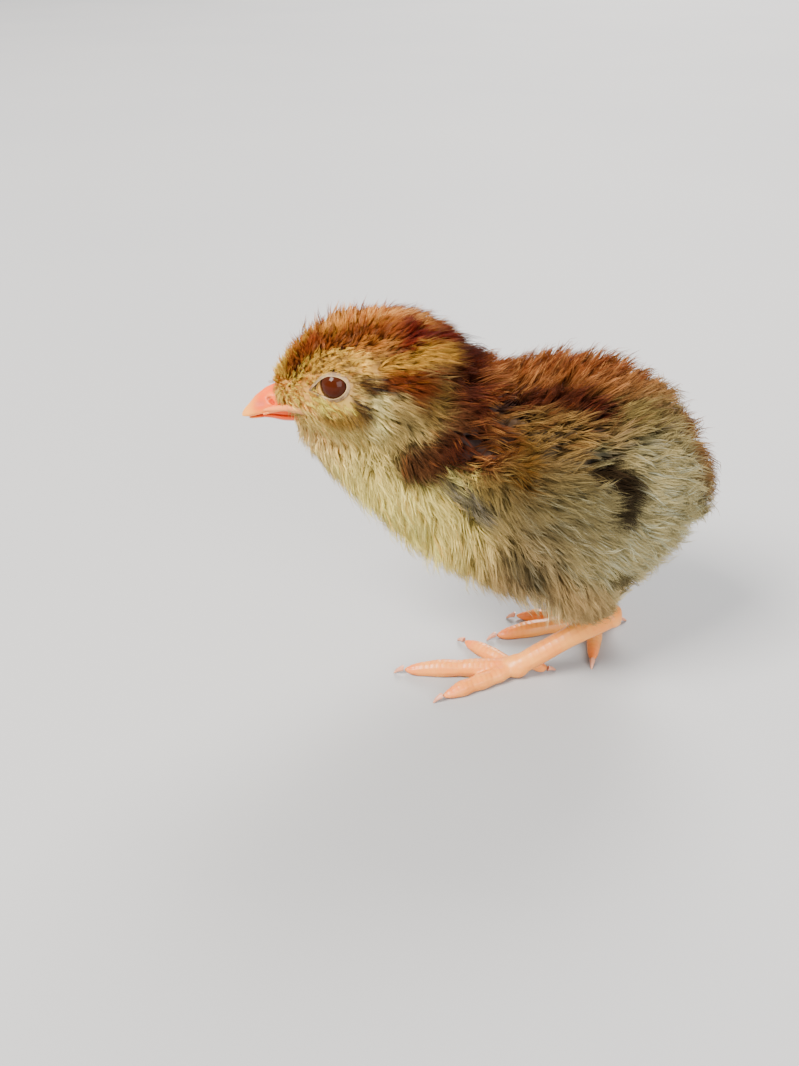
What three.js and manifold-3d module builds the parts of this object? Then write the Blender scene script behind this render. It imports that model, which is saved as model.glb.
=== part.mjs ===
import * as THREE from "three";
import { mergeVertices } from "three/addons/utils/BufferGeometryUtils.js";
import Module from "manifold-3d";

// A coturnix quail chick, one to three days old, standing still in its first down.
// Millimetres. +Z is up, the bill points to -Y and the chick's left side is +X. The floor is z = 0.
// Each form of flesh reaches out to the tips of the down that covers it.

// The whole chick
const chickLength = 59; // bill tip to the end of the tail tuft
const billTipY = -chickLength / 2;
const tailTipY = chickLength / 2;
const gap = 0.3; // air between neighbouring pieces

// Trunk, neck, head and tail tuft. The points of a line run from front to back in the plane of symmetry,
// as [y, z]. The sizes follow at even steps along it: half the width, and the heights above and below the line.
// swell is how full the ends are, with 2 for an ellipse.
const trunk = {
  line: [[-14.4, 22], [-5, 23.2], [6, 23.9], [18, 23.9], [28.4, 22.4]],
  wide: [8.8, 13, 14.6, 13.9, 9.5],
  high: [8, 14.4, 17, 16.8, 11.6],
  low: [8, 12.2, 15.3, 16.6, 11.6],
  swell: 2.35,
};
const neckForm = {
  line: [[-23, 32.2], [-14.5, 30], [-5, 27.8], [7, 25]],
  wide: [6, 9.6, 11.6, 10.4],
  high: [7, 12, 14.6, 12.4],
  low: [3.4, 8.2, 11.3, 9],
  swell: 2.5,
};
const headForm = {
  line: [[-25.8, 35.9], [-20, 37.5], [-12, 37.8], [-1.2, 36.2]],
  wide: [6.2, 9, 9.7, 8],
  high: [4.8, 7.9, 8.8, 8.6],
  low: [4.6, 7.4, 9, 8],
  swell: 2.35,
};
const tailForm = {
  line: [[23.5, 25.5], [27, 23.8], [tailTipY - 0.4, 20.8]],
  wide: [6, 4.4, 0.9],
  high: [5, 3.4, 0.8],
  swell: 3,
};
// The cuts that part the head from the neck and the neck from the trunk, as a point and degrees from upright
const headCut = { at: [0, -12, 34.6], tilt: -48 };
const neckCut = { at: [0, -7.2, 30], tilt: -36 };

// Wing: a small downy paddle that lies along the flank. Points are [x, y, z] of the left one.
const wingForm = {
  line: [[10.2, -4.6, 31.2], [13.2, 1.5, 30.6], [14.5, 8.5, 28.6], [13.3, 16, 25.6]],
  wide: [1.8, 2.2, 2, 1.3],
  high: [3, 4.6, 4.3, 2.2],
  swell: 2.6,
};

// Bill, with its sizes from the root to the tip
const bill = {
  rootY: -22.5,
  buried: 3, // length that lies hidden in the face
  tipZ: 33.1,
  gapeSlope: 10, // degrees that the line of the mouth rises towards the cheek
  upperRise: 0.9, // height of the upper bill's line over the mouth
  lowerDrop: 0.1,
  lowerShort: 0.9, // how far the lower bill ends behind the hooked tip
  upperWide: [2.9, 2.7, 2.2, 0.75],
  upperHigh: [2.6, 2.5, 1.9, 0.45],
  lowerWide: [2.7, 2.5, 1.9, 0.55],
  lowerDeep: [1.5, 1.4, 1, 0.35],
  swell: 4,
};
const nostril = { x: 1.9, y: -25.3, z: 35.5, long: 0.85, deep: 0.4, high: 0.32, tilt: -35 };

// Eye of the left side, with its axis turned a little forwards and up, and the ring of lids on that axis
const eye = { centre: [6.3, -17.5, 39.7], radius: 2.05, forwards: 15, up: 5 };
const lids = { across: 1.75, thick: 0.42, longer: 1.12, lower: 0.88, pinch: 0.16, out: 1.6 };

// Legs. A foot stands with its ball at foot, and heading is where its middle toe points, in degrees from
// straight ahead towards the chick's left. The spread of a toe is its angle from the middle toe, and that of the
// hind toe from straight back.
const legs = {
  left: {
    side: 1,
    hip: [7.4, 8, 19.4],
    knee: [8.8, 10.5, 15.4],
    hock: [8, 16.2, 10],
    foot: [7.7, 4.6, 0],
    heading: -1,
    spread: { inner: 45, outer: 29, hind: 14 },
  },
  right: {
    side: -1,
    hip: [-7.4, 12, 19],
    knee: [-8.8, 15, 14.8],
    hock: [-5.4, 22, 12.4],
    foot: [-3.6, 16.7, 0],
    heading: 14,
    spread: { inner: 64, outer: 21, hind: 4 },
  },
};
const thigh = { wide: [6, 5.2, 2.5], swell: 2.4 };
const shank = { wide: [1.85, 1.28, 1.45], ball: 1.6, ballUp: 1.38, aboveHock: 0.07, swell: 5 };
const toes = {
  middle: { long: 14.5, girth: 1.14, joints: 3 },
  inner: { long: 9.1, girth: 0.98, joints: 2 },
  outer: { long: 11, girth: 1.02, joints: 4 },
  hind: { long: 2.7, girth: 0.8, joints: 1 },
};
const toeTaper = [1.02, 1, 0.94, 0.78];
const jointSwell = 0.07; // how much a toe swells at its joints
const hindToeUp = 2.3; // height of the hind toe's root on the shank
// Run of a toe, as shares of its length and heights. The heights are in girths for a front toe and in root heights
// for the hind one. The front toes run lower than their girth, so that the floor flattens their pads.
const frontRun = [[0, 1.35], [0.35, 0.9], [0.7, 0.78], [1, 0.46]];
const hindRun = [[0, 1], [0.35, 0.72], [0.7, 0.42], [1, 0.25]];
// A claw bends over from its root inside the toe to a tip that rests on the floor.
const claw = { long: 2, root: -0.55, bend: 0.25, tip: 0.72, rootUp: 0.7, bendUp: 0.66, tipUp: 0, swell: 6 };
const clawWide = [0.44, 0.38, 0.1];

// Facets round and along each kind of form
const facets = {
  trunk: [28, 20],
  neck: [24, 14],
  head: [28, 18],
  tail: [16, 8],
  wing: [20, 14],
  upperBill: [16, 12],
  lowerBill: [16, 10],
  nostril: [10, 6],
  eye: [14, 10],
  lids: [6, 20],
  thigh: [18, 12],
  shank: [12, 12],
  ball: [12, 8],
  toe: [10, 12],
  claw: [6, 6],
};
const farAway = 80; // size of the blocks that cut a form in two

const degrees = Math.PI / 180;
const up = new THREE.Vector3(0, 0, 1);
const wasm = await Module();
wasm.setup();

// The value at share s of a row of evenly spaced sizes, on a smooth curve through them
function sizeAt(row, s) {
  const reach = s * (row.length - 1);
  const i = Math.min(Math.floor(reach), row.length - 2);
  const t = reach - i;
  const before = row[Math.max(i - 1, 0)];
  const after = row[Math.min(i + 2, row.length - 1)];
  const rise = row[i + 1] - row[i];
  const slopeA = (row[i + 1] - before) / 2;
  const slopeB = (after - row[i]) / 2;
  const bend = 3 * rise - 2 * slopeA - slopeB;
  const twist = slopeA + slopeB - 2 * rise;
  return row[i] + slopeA * t + bend * t * t + twist * t * t * t;
}

// A rounded form along a bent line: a ball whose rings are moved on to the line and given its sizes there
function formAlong({ line, wide, high = wide, low = high, swell = 2, joints = 0 }, [around, along]) {
  const spine = new THREE.CatmullRomCurve3(line.map((point) => new THREE.Vector3(...point)));
  const ball = new THREE.SphereGeometry(1, around, along);
  ball.deleteAttribute("normal");
  ball.deleteAttribute("uv");
  const shape = mergeVertices(ball);
  const place = shape.getAttribute("position");
  const v = new THREE.Vector3();
  for (let i = 0; i < place.count; i++) {
    v.fromBufferAttribute(place, i);
    const s = THREE.MathUtils.clamp((1 - v.y) / 2, 0, 1);
    const ring = Math.hypot(v.x, v.z) || 1;
    const round = Math.max(0, 1 - Math.abs(2 * s - 1) ** swell) ** (1 / swell);
    const knuckle = joints ? 1 + jointSwell * Math.cos(2 * Math.PI * joints * s) : 1;
    const ahead = spine.getTangentAt(s);
    const sideways = new THREE.Vector3().crossVectors(ahead, up).normalize();
    const upright = new THREE.Vector3().crossVectors(sideways, ahead);
    const tall = v.z > 0 ? sizeAt(high, s) : sizeAt(low, s);
    const point = spine.getPointAt(s);
    point.addScaledVector(sideways, (v.x / ring) * round * knuckle * sizeAt(wide, s));
    point.addScaledVector(upright, (v.z / ring) * round * knuckle * tall);
    place.setXYZ(i, point.x, point.y, point.z);
  }
  return shape;
}

function manifoldOf(shape) {
  const vertProperties = new Float32Array(shape.getAttribute("position").array);
  const triVerts = new Uint32Array(shape.index.array);
  return new wasm.Manifold(new wasm.Mesh({ numProp: 3, vertProperties, triVerts }));
}

// The solid inside a closed shape, with its surface moved out by grow
function solidOf(geometry, grow = 0) {
  const plain = geometry.clone();
  plain.deleteAttribute("normal");
  plain.deleteAttribute("uv");
  const shape = mergeVertices(plain);
  let solid = manifoldOf(shape);
  if (solid.volume() < 0) {
    const corners = shape.index.array;
    for (let i = 0; i < corners.length; i += 3) [corners[i], corners[i + 1]] = [corners[i + 1], corners[i]];
    solid = manifoldOf(shape);
  }
  if (!grow) return solid;
  shape.computeVertexNormals();
  const place = shape.getAttribute("position");
  const normal = shape.getAttribute("normal");
  const v = new THREE.Vector3();
  const out = new THREE.Vector3();
  for (let i = 0; i < place.count; i++) {
    v.fromBufferAttribute(place, i).addScaledVector(out.fromBufferAttribute(normal, i), grow);
    place.setXYZ(i, v.x, v.y, v.z);
  }
  return manifoldOf(shape);
}

const largest = (solid) => solid.decompose().sort((a, b) => b.volume() - a.volume())[0];
const cut = (solid, ...tools) => largest(tools.reduce((left, tool) => left.subtract(tool), solid));

// A block that fills the side of a plane towards +Y, tilted about X and moved by shift along the plane's normal
function beyond({ at, tilt }, shift) {
  const block = new THREE.BoxGeometry(farAway, farAway, farAway);
  block.translate(0, farAway / 2 + shift, 0);
  block.rotateX(tilt * degrees);
  block.translate(...at);
  return solidOf(block);
}

const floorBlock = solidOf(new THREE.BoxGeometry(farAway, farAway, farAway).translate(0, 0, -farAway / 2));

const model = new THREE.Group();
const finishes = {
  down: { color: 0x8a6a42, roughness: 0.95 },
  flesh: { color: 0xe0a183, roughness: 0.5 },
  horn: { color: 0xe3b8a2, roughness: 0.4 },
  lid: { color: 0xcfc4ae, roughness: 0.7 },
  eye: { color: 0x2b120b, roughness: 0.08 },
};

function addNode(name, solid, finish) {
  const mesh = solid.getMesh();
  const shape = new THREE.BufferGeometry();
  shape.setAttribute("position", new THREE.BufferAttribute(new Float32Array(mesh.vertProperties), 3));
  shape.setIndex(new THREE.BufferAttribute(new Uint32Array(mesh.triVerts), 1));
  const node = new THREE.Mesh(shape, new THREE.MeshStandardMaterial({ metalness: 0, ...finishes[finish] }));
  node.name = name;
  model.add(node);
}

// Eyeball and the ring of lids round it
function eyeParts(side) {
  const turn = new THREE.Euler(0, -eye.up * degrees, -eye.forwards * degrees, "ZYX");
  const place = (shape) => {
    shape.applyMatrix4(new THREE.Matrix4().makeRotationFromEuler(turn));
    shape.translate(...eye.centre);
    return side < 0 ? shape.scale(-1, 1, 1) : shape;
  };
  const ring = new THREE.TorusGeometry(lids.across, lids.thick, ...facets.lids);
  ring.rotateY(90 * degrees);
  const spot = ring.getAttribute("position");
  for (let i = 0; i < spot.count; i++) {
    const y = spot.getY(i) * lids.longer;
    const corner = 1 - lids.pinch * (y / lids.across) ** 2; // the lids close towards the corners of the eye
    spot.setXYZ(i, spot.getX(i) + lids.out, y, spot.getZ(i) * lids.lower * corner);
  }
  return { ball: place(new THREE.SphereGeometry(eye.radius, ...facets.eye)), ring: place(ring) };
}

// Upper and lower bill, parted along the line of the mouth
function billParts() {
  const slope = Math.tan(bill.gapeSlope * degrees);
  const mouthZ = (y) => bill.tipZ + (y - billTipY) * slope;
  const midY = (bill.rootY + billTipY) / 2;
  const line = (rise) => [
    [0, bill.rootY + bill.buried, mouthZ(bill.rootY + bill.buried) + rise],
    [0, bill.rootY, mouthZ(bill.rootY) + rise],
    [0, midY, mouthZ(midY) + rise],
    [0, billTipY, bill.tipZ - bill.lowerDrop],
  ];
  const { upperWide, upperHigh, lowerWide, lowerDeep, swell } = bill;
  const upper = { line: line(bill.upperRise), wide: upperWide, high: upperHigh, low: upperWide, swell };
  const lower = { line: line(-bill.lowerDrop), wide: lowerWide, high: lowerDeep, swell };
  const mouth = (sign, shift) => {
    const block = new THREE.BoxGeometry(farAway, farAway, farAway);
    block.translate(0, 0, (sign * farAway) / 2 + shift);
    block.rotateX(bill.gapeSlope * degrees);
    block.translate(0, billTipY, bill.tipZ);
    return solidOf(block);
  };
  const pits = [1, -1].map((side) => {
    const pit = new THREE.SphereGeometry(1, ...facets.nostril);
    pit.scale(nostril.deep, nostril.long, nostril.high);
    pit.rotateX(nostril.tilt * degrees);
    return solidOf(pit.translate(side * nostril.x, nostril.y, nostril.z));
  });
  const tip = new THREE.BoxGeometry(farAway, farAway, farAway);
  tip.translate(0, billTipY - farAway / 2 + bill.lowerShort, bill.tipZ);
  return {
    upper: cut(solidOf(formAlong(upper, facets.upperBill)), mouth(-1, 0), ...pits),
    lower: cut(solidOf(formAlong(lower, facets.lowerBill)), mouth(1, -gap), solidOf(tip)),
  };
}

// A toe and its claw, from a root on the foot out along the floor in the direction of angle
function toeParts(root, angle, { long, girth, joints }, run, unit) {
  const way = new THREE.Vector3(Math.sin(angle * degrees), -Math.cos(angle * degrees), 0);
  const at = (reach, z) => [root[0] + way.x * reach, root[1] + way.y * reach, z];
  const line = run.map(([share, height]) => at(long * share, unit * height));
  const toe = { line, wide: toeTaper.map((share) => girth * share), swell: 5, joints };
  const nail = {
    line: [
      at(long + claw.long * claw.root, girth * claw.rootUp),
      at(long + claw.long * claw.bend, girth * claw.bendUp),
      at(long + claw.long * claw.tip, claw.tipUp),
    ],
    wide: clawWide,
    swell: claw.swell,
  };
  return { toe: formAlong(toe, facets.toe), nail: formAlong(nail, facets.claw) };
}

// Thigh, shank with the ball of the foot, toes and claws of one leg, cut clear of the trunk and of each other
function addLeg(name, trunkTools) {
  const { side, hip, knee, hock, foot, heading, spread } = legs[name];
  const ball = [foot[0], foot[1], shank.ballUp];
  const mid = hock.map((h, i) => (h + ball[i]) / 2);
  const top = hock.map((h, i) => h + (h - ball[i]) * shank.aboveHock);
  const thighShape = formAlong({ ...thigh, line: [hip, knee, hock] }, facets.thigh);
  const shankShape = formAlong({ ...shank, line: [top, mid, ball] }, facets.shank);
  const ballShape = new THREE.SphereGeometry(shank.ball, ...facets.ball).translate(...ball);
  const leg = solidOf(shankShape).add(solidOf(ballShape));
  const legGrown = solidOf(shankShape, gap).add(solidOf(ballShape, gap));
  addNode(`thigh_${name}`, cut(solidOf(thighShape), ...trunkTools, legGrown), "down");
  addNode(`shank_${name}`, cut(leg, floorBlock, ...trunkTools), "flesh");

  const addToe = (which, { toe, nail }, tools) => {
    addNode(`toe_${which}_${name}`, cut(solidOf(toe), floorBlock, legGrown, ...tools), "flesh");
    addNode(`claw_${which}_${name}`, cut(solidOf(nail), floorBlock, solidOf(toe, gap)), "horn");
  };
  const frontToe = (which, angle) => toeParts(foot, angle, toes[which], frontRun, toes[which].girth);
  const middle = frontToe("middle", heading);
  const middleGrown = [solidOf(middle.toe, gap), solidOf(middle.nail, gap)];
  addToe("middle", middle, []);
  addToe("inner", frontToe("inner", heading - side * spread.inner), middleGrown);
  addToe("outer", frontToe("outer", heading + side * spread.outer), middleGrown);

  const upTheShank = (hindToeUp - ball[2]) / (hock[2] - ball[2]);
  const hindRoot = hock.map((h, i) => ball[i] + (h - ball[i]) * upTheShank);
  const straightBack = 180 + heading;
  addToe("hind", toeParts(hindRoot, straightBack + side * spread.hind, toes.hind, hindRun, hindToeUp), []);
}

// Trunk, neck, head and tail
const midline = ({ line, ...sizes }) => ({ ...sizes, line: line.map(([y, z]) => [0, y, z]) });
const headShape = formAlong(midline(headForm), facets.head);
const neckShape = formAlong(midline(neckForm), facets.neck);
const trunkShape = formAlong(midline(trunk), facets.trunk);
const tailShape = formAlong(midline(tailForm), facets.tail);
const flesh = solidOf(headShape).add(solidOf(neckShape)).add(solidOf(trunkShape));
const fleshGrown = [headShape, neckShape, trunkShape].map((shape) => solidOf(shape, gap));

const billSolids = billParts();
const eyes = { left: eyeParts(1), right: eyeParts(-1) };
const sockets = Object.values(eyes).flatMap(({ ball, ring }) => [solidOf(ball, gap), solidOf(ring, gap)]);
const billRoom = [billSolids.upper.hull(), billSolids.lower.hull()];

addNode("torso", largest(flesh.intersect(beyond(neckCut, gap / 2))), "down");
addNode("neck", cut(flesh.intersect(beyond(headCut, gap / 2)), beyond(neckCut, -gap / 2)), "down");
addNode("head", cut(flesh, beyond(headCut, -gap / 2), ...sockets, ...billRoom), "down");
const behindTail = beyond({ at: [0, tailTipY, 0], tilt: 0 }, 0);
addNode("tail", cut(solidOf(tailShape), behindTail, ...fleshGrown), "down");
addNode("bill_upper", billSolids.upper, "horn");
addNode("bill_lower", billSolids.lower, "horn");
for (const [name, { ball, ring }] of Object.entries(eyes)) {
  addNode(`eye_${name}`, solidOf(ball), "eye");
  addNode(`lids_${name}`, cut(solidOf(ring), solidOf(ball, gap)), "lid");
}

// Wings and legs
for (const name of ["left", "right"]) {
  const line = wingForm.line.map(([x, y, z]) => [legs[name].side * x, y, z]);
  const wingShape = formAlong({ ...wingForm, line }, facets.wing);
  addNode(`wing_${name}`, cut(solidOf(wingShape), ...fleshGrown), "down");
  addLeg(name, [...fleshGrown, solidOf(wingShape, gap)]);
}

export default model;
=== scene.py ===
import math

import bmesh
import bpy
import numpy as np
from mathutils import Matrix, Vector
from mathutils.bvhtree import BVHTree


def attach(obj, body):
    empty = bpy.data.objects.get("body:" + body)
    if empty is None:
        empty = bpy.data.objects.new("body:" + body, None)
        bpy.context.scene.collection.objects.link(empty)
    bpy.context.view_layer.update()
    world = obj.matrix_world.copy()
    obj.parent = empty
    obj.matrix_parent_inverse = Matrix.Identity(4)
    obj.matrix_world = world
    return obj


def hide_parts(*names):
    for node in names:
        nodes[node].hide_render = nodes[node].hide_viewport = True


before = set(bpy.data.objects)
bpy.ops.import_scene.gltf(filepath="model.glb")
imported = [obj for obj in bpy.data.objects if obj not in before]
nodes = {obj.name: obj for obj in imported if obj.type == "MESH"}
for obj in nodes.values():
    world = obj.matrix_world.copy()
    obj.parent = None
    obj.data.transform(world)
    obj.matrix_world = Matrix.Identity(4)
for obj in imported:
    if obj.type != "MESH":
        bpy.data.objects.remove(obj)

# A coturnix quail chick in its first down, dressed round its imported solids.
# Lists of places are in millimetres: the bill points to -Y, the chick's left side is +X, up is +Z and the
# floor is at z = 0. A mark or a lie with a positive x stands for both sides of the bird.
mm = 0.001
scene = bpy.context.scene
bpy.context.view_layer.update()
chance = np.random.default_rng(20)
bothSides = ((1, "left"), (-1, "right"))


def paint(red, green, blue):
    # a colour as a screen shows it, 0 to 255, made linear for the shaders
    share = np.array([red, green, blue]) / 255
    return np.where(share < 0.04045, share / 12.92, ((share + 0.055) / 1.055) ** 2.4)


def unit(rows):
    return rows / np.maximum(np.linalg.norm(rows, axis=-1, keepdims=True), 1e-12)


def nearness(spots, path, reach, power=2):
    # 1 on the line of a mark, falling to 0 away from it, the same on both sides of the bird
    own = np.abs(spots * [1, 0, 0]) + spots * [0, 1, 1]
    line = np.array(path, float).reshape(-1, 3)
    away = np.linalg.norm(own - line[0], axis=1)
    for start, end in zip(line[:-1], line[1:]):
        along = end - start
        share = np.clip(((own - start) @ along) / (along @ along), 0, 1)
        away = np.minimum(away, np.linalg.norm(own - start - share[:, None] * along, axis=1))
    return np.exp(-((away / reach) ** power))


def ripple(spots, wave, seed):
    # a soft random field in space, three numbers from about -1 to 1 at each place
    dice = np.random.default_rng(seed)
    field, waves = np.zeros((len(spots), 3)), 14
    for _ in range(waves):
        toward = unit(dice.normal(0, 1, 3)) * 2 * math.pi / (wave * dice.uniform(0.7, 1.5))
        field += np.sin(spots @ toward + dice.uniform(0, 2 * math.pi))[:, None] * dice.normal(0, 1, 3)
    return field / math.sqrt(waves) * 0.9


class Wire:
    # a shader socket whose sums, differences, products and quotients add their Math nodes
    def __init__(self, tree, socket=None):
        self.tree, self.socket = tree, socket

    def node(self, kind, settings, inputs, output=0):
        made = self.tree.nodes.new("ShaderNode" + kind)
        for name, value in settings.items():
            setattr(made, name, value)
        for name, value in inputs.items():
            if isinstance(value, Wire):
                self.tree.links.new(value.socket, made.inputs[name])
            else:
                made.inputs[name].default_value = value
        return Wire(self.tree, made.outputs[output])

    def math(self, operation, first, second):
        return self.node("Math", {"operation": operation}, {0: first, 1: second})

    def __add__(self, other):
        return self.math("ADD", self, other)

    def __rsub__(self, other):
        return self.math("SUBTRACT", other, self)

    def __mul__(self, other):
        return self.math("MULTIPLY", self, other)

    def __truediv__(self, other):
        return self.math("DIVIDE", self, other)

    __radd__, __rmul__ = __add__, __mul__

    def place(self):
        return self.node("TexCoord", {}, {}, "Object")

    def along(self, axis):
        return self.node("SeparateXYZ", {}, {"Vector": self}, axis)

    def attribute(self, name, output="Color"):
        return self.node("Attribute", {"attribute_name": name}, {}, output)

    def noise(self, where, scale, detail=3.0):
        inputs = {"Vector": where, "Scale": scale, "Detail": detail, "Roughness": 0.55}
        return self.node("TexNoise", {}, inputs)

    def between(self, low, high):
        # 0 up to low, 1 from high on, smooth between them
        inputs = {"Value": self, "From Min": low, "From Max": high}
        return self.node("MapRange", {"interpolation_type": "SMOOTHSTEP"}, inputs)

    def mix(self, share, first, second, how="MIX"):
        first, second = (c if isinstance(c, Wire) else (*c, 1) for c in (first, second))
        return self.node("Mix", {"data_type": "RGBA", "blend_type": how}, {0: share, 6: first, 7: second}, 2)

    def bump(self, height, strength, distance):
        return self.node("Bump", {}, {"Height": height, "Strength": strength, "Distance": distance}, "Normal")


def material(name, build, **sockets):
    # build(wire) gives what varies; the other sockets are set to fixed numbers
    made = bpy.data.materials.new(name)
    made.use_nodes = True
    shader = made.node_tree.nodes["Principled BSDF"]
    for socket, value in sockets.items():
        shader.inputs[socket.replace("_", " ")].default_value = value
    for socket, wire in build(Wire(made.node_tree)).items():
        made.node_tree.links.new(wire.socket, shader.inputs[socket.replace("_", " ")])
    return made


def wear(piece, finish):
    piece.data.materials.clear()
    piece.data.materials.append(finish)


def pieceOf(mesh, name):
    piece = bpy.data.objects.new(name, mesh)
    scene.collection.objects.link(piece)
    mesh.name = name
    return piece


def meshOf(form, name):
    # a bmesh made into a mesh, and let go
    mesh = bpy.data.meshes.new(name)
    form.to_mesh(mesh)
    form.free()
    return mesh


def finishedMesh(piece):
    # a copy of the mesh with the modifiers or the bevel of the curve applied
    bpy.context.view_layer.update()
    return bpy.data.meshes.new_from_object(piece.evaluated_get(bpy.context.evaluated_depsgraph_get()))


def readAll(items, name, kind=np.int32, width=1):
    flat = np.empty(len(items) * width, kind)
    items.foreach_get(name, flat)
    return flat


def spotsOf(mesh):
    return readAll(mesh.vertices, "co", np.float32, 3).reshape(-1, 3).astype(float) / mm


def leaning(mesh):
    return readAll(mesh.vertices, "normal", np.float32, 3).reshape(-1, 3).astype(float)


def edgesOf(mesh):
    return readAll(mesh.edges, "vertices", width=2).reshape(-1, 2)


def moveTo(mesh, spots):
    mesh.vertices.foreach_set("co", (spots * mm).astype(np.float32).ravel())
    mesh.update()


def evened(values, edges, rounds):
    # values of the mesh's points drawn towards those of their neighbours
    rows = values.reshape(len(values), -1).astype(float)
    many = np.bincount(edges.ravel(), minlength=len(rows))[:, None]
    for _ in range(rounds):
        around = np.zeros_like(rows)
        for column in range(rows.shape[1]):
            around[:, column] = np.bincount(edges[:, 0], rows[edges[:, 1], column], len(rows))
            around[:, column] += np.bincount(edges[:, 1], rows[edges[:, 0], column], len(rows))
        rows = 0.5 * rows + 0.5 * around / np.maximum(many, 1)
    return rows.reshape(values.shape)


def castOf(names, name, voxel, grow, rounds):
    # one closed surface over copies of CAD nodes, with their gaps filled and their facets softened
    joined = bmesh.new()
    for node in names:
        part = bmesh.new()
        part.from_mesh(nodes[node].data)
        bmesh.ops.remove_doubles(part, verts=part.verts, dist=0.002 * mm)
        part.normal_update()
        for vert in part.verts:
            vert.co += vert.normal * grow * mm
        copy = meshOf(part, "copy")
        joined.from_mesh(copy)
        bpy.data.meshes.remove(copy)
    mesh = meshOf(joined, name)
    piece = pieceOf(mesh, name)
    remesh = piece.modifiers.new("remesh", "REMESH")
    remesh.mode, remesh.voxel_size, remesh.use_smooth_shade = "VOXEL", voxel * mm, True
    done = finishedMesh(piece)
    piece.modifiers.clear()
    piece.data = done
    bpy.data.meshes.remove(mesh)
    done.name = name
    moveTo(done, evened(spotsOf(done), edgesOf(done), rounds))
    done.shade_smooth()
    return piece


def colourPoints(mesh, name, colours):
    layer = mesh.color_attributes.new(name, "FLOAT_COLOR", "POINT")
    rows = np.ones((len(colours), 4), np.float32)
    rows[:, :3] = colours
    layer.data.foreach_set("color", rows.ravel())


def valuePoints(mesh, name, values):
    layer = mesh.attributes.new(name, "FLOAT", "POINT")
    layer.data.foreach_set("value", values.astype(np.float32))


# Camera at the photograph's angle, pale floor, soft studio light
view = {"place": (116.5, -10.55, 84), "turn": (60, 0, 90), "lens": 35.46}
camera = bpy.data.objects.new("camera", bpy.data.cameras.new("camera"))
camera.location = Vector(view["place"]) * mm
camera.rotation_euler = [math.radians(angle) for angle in view["turn"]]
camera.data.lens, camera.data.sensor_width = view["lens"], 36
camera.data.clip_start, camera.data.clip_end = 0.005, 20
scene.collection.objects.link(camera)
scene.camera = camera

studio = {
    "key": {"place": (500, -760, 1150), "size": 620, "watts": 64, "colour": (1, 0.955, 0.89)},
    "fill": {"place": (1150, 560, 560), "size": 900, "watts": 23, "colour": (0.96, 0.98, 1)},
    "rim": {"place": (-1900, 600, 1500), "size": 1200, "watts": 125, "colour": (1, 0.97, 0.93)},
}
room = {"colour": (0.92, 0.95, 1), "strength": 0.62, "aim": (0, 0, 22), "floor": 3}
for name, lamp in studio.items():
    light = bpy.data.objects.new(name, bpy.data.lights.new(name, "AREA"))
    light.data.size, light.data.energy, light.data.color = lamp["size"] * mm, lamp["watts"], lamp["colour"]
    light.location = Vector(lamp["place"]) * mm
    light.rotation_euler = (Vector(room["aim"]) - Vector(lamp["place"])).to_track_quat("-Z", "Y").to_euler()
    scene.collection.objects.link(light)
scene.world = bpy.data.worlds.new("studio")
scene.world.use_nodes = True
background = scene.world.node_tree.nodes["Background"].inputs
background["Color"].default_value = (*room["colour"], 1)
background["Strength"].default_value = room["strength"]

ground = bmesh.new()
bmesh.ops.create_grid(ground, x_segments=4, y_segments=4, size=room["floor"])
floor = pieceOf(meshOf(ground, "floor"), "floor")


def paleFloor(wire):
    where = wire.place()
    cloud = wire.noise(where, 6.0, 2.0)
    return {"Base_Color": wire.mix(cloud, paint(156, 156, 158), paint(165, 164, 163))}


floor.data.materials.append(material("pale_floor", paleFloor, Roughness=0.75))
print("camera, floor and lights made")

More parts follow.
